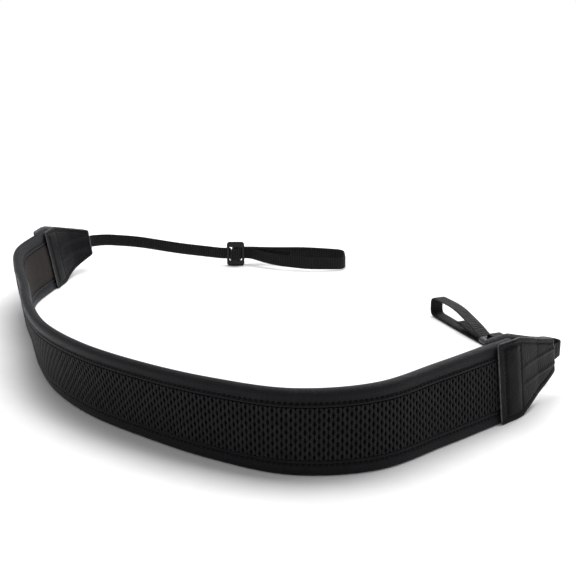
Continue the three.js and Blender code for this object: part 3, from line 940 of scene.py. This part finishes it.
def rounded_route(rows):
    """Points and widths along a route with round corners, a step apart."""
    line = [(rows[0][0], rows[0][2])]
    for (before, _, _), (here, bend, wide), (after, _, _) in zip(rows, rows[1:], rows[2:]):
        back, on = before - here, after - here
        bend = min(bend, back.length * 0.48, on.length * 0.48)
        start, end = here + back.normalized() * bend, here + on.normalized() * bend
        for step in range(BEND_STEPS + 1):
            t = step / BEND_STEPS
            line.append((start * (1 - t) ** 2 + here * 2 * t * (1 - t) + end * t * t, wide))
    line.append((rows[-1][0], rows[-1][2]))
    even = [line[0]]
    for (a, wide_a), (b, wide_b) in zip(line, line[1:]):
        count = max(1, round((b - a).length / BAND_STEP))
        even += [(a.lerp(b, n / count), wide_a.lerp(wide_b, n / count))
                 for n in range(1, count + 1)]
    return even


# Out of the band and across it. The ribs rise from here.
HALF_SECTION = [(0.32, -4.2), (0.32, -2.1), (0.32, 0), (0.32, 2.1), (0.32, 4.2), (0.5, 4.6),
                (0.3, 4.95)]
BAND_SECTION = HALF_SECTION + [(-n, -w) for n, w in HALF_SECTION]
print("two routes of", [len(rows) for rows in routes.values()], "rows")

# %% [markdown]
# ## Nylon and its ribs
# The finish and the shape keep step: both count the distance along the band, so the colour's
# darker line, a painted shade, falls in the valley between two raised ribs. The selvedges are
# left plain, because an attribute says which points the ribs may lift.

# %% The finish, the rib tree and the two webbings
# Woven nylon: painted shade darkens the colour in the valley between two ribs, and each crest
# keeps the full tone, a dull painted highlight.
RIB_PITCH, RIB_DEPTH = 2, 0.3
nylon, tree, shader = new_material("woven_nylon_webbing", 0.5, Specular_IOR_Level=0.13,
                                   Sheen_Weight=0.02, Sheen_Roughness=0.5)
spot, _, tone = patchy_colour(tree, shader, "#161515", "#211f1f", 150)
crests, weft, warp = [
    add_node(tree, "ShaderNodeTexWave", {"Vector": spot, "Scale": RIBS / pitch},
             bands_direction=way).outputs["Fac"]
    for pitch, way in ((RIB_PITCH, "X"), (RIB_PITCH / 2, "X"), (0.8, "Y"))]
# Painted shade: the colour falls to near black in each valley between two ribs.
painted_rib_shade = add_node(tree, "ShaderNodeMix", {0: crests, 6: linear("#070707"), 7: tone},
                  data_type="RGBA")
tree.links.new(painted_rib_shade.outputs[2], shader.inputs["Base Color"])
woven = add_node(tree, "ShaderNodeMath", {0: weft, 1: warp}, operation="MULTIPLY")
relief = add_node(tree, "ShaderNodeBump", {"Height": woven.outputs[0], "Distance": 0.2 * MM})
tree.links.new(relief.outputs[0], shader.inputs["Normal"])

ribbing, given = new_tree("webbing_ribs", ["Pitch", "Depth"])
run_read, rib_read = [add_node(ribbing, "GeometryNodeInputNamedAttribute", {"Name": name},
                               data_type="FLOAT").outputs["Attribute"]
                      for name in ("run", "ribbed")]
height = run_read
for operation, value in (("MULTIPLY", math.pi), ("DIVIDE", given["Pitch"]), ("SINE", 0.0),
                         ("ABSOLUTE", 0.0), ("MULTIPLY", given["Depth"]), ("MULTIPLY", rib_read)):
    height = add_node(ribbing, "ShaderNodeMath", {0: height, 1: value},
                      operation=operation).outputs[0]
normal = add_node(ribbing, "GeometryNodeInputNormal").outputs[0]
lift = add_node(ribbing, "ShaderNodeVectorMath", {0: normal, "Scale": height}, operation="SCALE")
ribbed = add_node(ribbing, "GeometryNodeSetPosition",
                  {"Geometry": given["Geometry"], "Offset": lift.outputs[0]})
close_tree(ribbing, ribbed.outputs[0], given["Finish"])


def webbing(name, rows):
    points = rounded_route(rows)
    rings, runs, run = [], [], 0.0
    for index, (at, wide) in enumerate(points):
        before = points[max(index - 1, 0)][0]
        after = points[min(index + 1, len(points) - 1)][0]
        along = (after - before).normalized()
        across = (wide - along * wide.dot(along)).normalized()
        normal = along.cross(across)
        run += (at - before).length
        rings.append([at + normal * n + across * w for n, w in BAND_SECTION])
        runs.append(run)
    band = loft_piece(name + "_plain", rings, runs, nylon)
    marks = {"run": [r * MM for r in runs for _ in BAND_SECTION],
             "ribbed": [float(abs(w) < SELVEDGE) for _ in runs for _, w in BAND_SECTION]}
    for mark, values in marks.items():
        band.data.attributes.new(mark, "FLOAT", "POINT").data.foreach_set("value", values)
    print(name, "is", round(run), "mm long")
    return grow(name, band, ribbing,
                {"Pitch": RIB_PITCH * MM, "Depth": RIB_DEPTH * MM, "Finish": nylon})


webbings = {side: webbing(f"nylon_webbing_{side}", rows) for side, rows in routes.items()}

# %% [markdown]
# ## Sliders
# A slider is one small acetal moulding: a plate with three bars. Nothing moulded has a sharp
# edge, because the webbing has to run over it, so the CAD's plate is copied, its loose
# triangles are merged, and a bevel rounds every edge of the bars.

# %% Moulded sliders
# Acetal: hard, waxy and a touch glossier than anything round it, with a faint spark texture.
acetal, tree, shader = new_material("moulded_acetal", 0.33, Specular_IOR_Level=0.25)
spot, _, _ = patchy_colour(tree, shader, "#0c0c0d", "#121214", 200, from_uv=False)
spark = add_node(tree, "ShaderNodeTexNoise", {"Vector": spot, "Scale": 2200, "Detail": 2})
relief = add_node(tree, "ShaderNodeBump", {"Height": spark.outputs["Fac"], "Distance": 0.06 * MM})
tree.links.new(relief.outputs[0], shader.inputs["Normal"])
EDGE_RADIUS = 0.6


def moulded(name, node):
    """A copy of a CAD node with its sharp edges rounded."""
    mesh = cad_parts[node].data.copy()
    mesh.name = name
    shape = bmesh.new()
    shape.from_mesh(mesh)
    shape.transform(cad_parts[node].matrix_world)
    bmesh.ops.remove_doubles(shape, verts=shape.verts, dist=1e-6)
    bmesh.ops.dissolve_limit(shape, angle_limit=math.radians(1), verts=shape.verts,
                             edges=shape.edges)
    sharp = [edge for edge in shape.edges if edge.calc_face_angle(0) > math.radians(50)]
    bmesh.ops.bevel(shape, geom=sharp, offset=EDGE_RADIUS * MM, segments=4, profile=0.5,
                    affect="EDGES", clamp_overlap=True)
    bmesh.ops.recalc_face_normals(shape, faces=shape.faces)
    shape.to_mesh(mesh)
    shape.free()
    mesh.polygons.foreach_set("use_smooth", [True] * len(mesh.polygons))
    mesh.materials.clear()
    mesh.materials.append(acetal)
    piece = bpy.data.objects.new(name, mesh)
    bpy.context.collection.objects.link(piece)
    print(name, len(mesh.polygons), "faces")
    return piece


sliders = {side: moulded(f"acetal_slider_{side}", f"slider_{side}") for side in ("left", "right")}

# %% [markdown]
# ## Joining the frame
# Every piece rides on the one body, and the CAD solids that it stands for are hidden. All but
# the seams stand for a CAD solid.

# %% What each piece stands for
roles = [
    (foam_pad, "foam", ["pad_core"]), (panel_backing, "mesh", ["mesh_panel"]),
    (woven_panel, "mesh", ["mesh_panel"]), (brushed_lining, "lining", ["inner_lining"]),
    (upper_roll, "binding", ["binding_upper"]), (lower_roll, "binding", ["binding_lower"]),
    (pad_seams, "binding", [])]
roles += [(piece, "leather", [node]) for node, piece in leather_layers.items()]
roles += [(piece, "leather", []) for piece in tab_seams.values()]
roles += [(piece, "webbing", [f"webbing_{side}"]) for side, piece in webbings.items()]
roles += [(piece, "slider", [f"slider_{side}"]) for side, piece in sliders.items()]
for piece, finish_slot, nodes in roles:
    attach(piece, "root")
    if nodes:
        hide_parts(*nodes)

print(len(roles), "pieces ride on the body")
